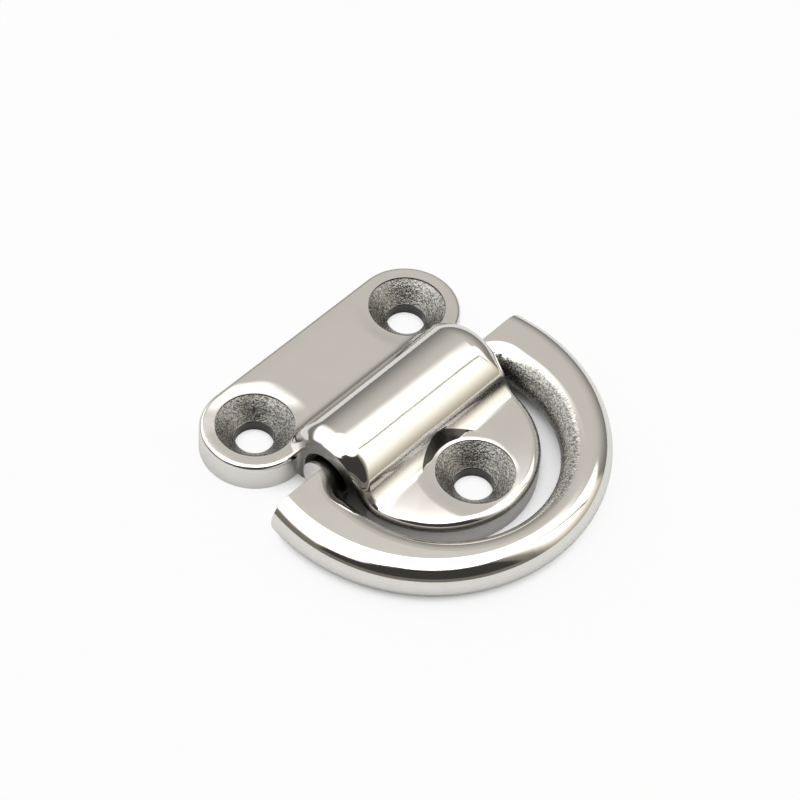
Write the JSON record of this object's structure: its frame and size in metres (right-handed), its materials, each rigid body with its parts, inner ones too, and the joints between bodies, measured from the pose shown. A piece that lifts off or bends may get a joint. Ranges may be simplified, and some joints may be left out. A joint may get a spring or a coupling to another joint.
{
  "type": "folding deck d-ring",
  "caption": "Cast stainless steel folding pad eye: a deck plate with countersunk screw holes and a hinge housing, and a D-shaped ring that folds flat round it.",
  "frame": {"origin": "centre of the circle through the screw holes, on the face that sits on the deck", "axes": "+Z away from the deck, +X along the hinge, -Y towards the bow of the folded ring"},
  "size_m": [0.0586, 0.0579, 0.0124],
  "materials": {
    "base_steel": "cast stainless steel, mirror polished on top, satin on its side walls, as cast in the countersinks",
    "ring_steel": "cast stainless steel, mirror polished, rougher on the inner side of the opening"
  },
  "bodies": {
    "base": {"base": "base_steel"},
    "ring": {"d_ring": "ring_steel"}
  },
  "joints": [
    {"name": "ring_fold", "type": "hinge", "parent": "base", "child": "ring", "pos_m": [0, -0.0044, 0.00395], "axis": [-1, 0, 0], "range_deg": [0, 140]}
  ]
}
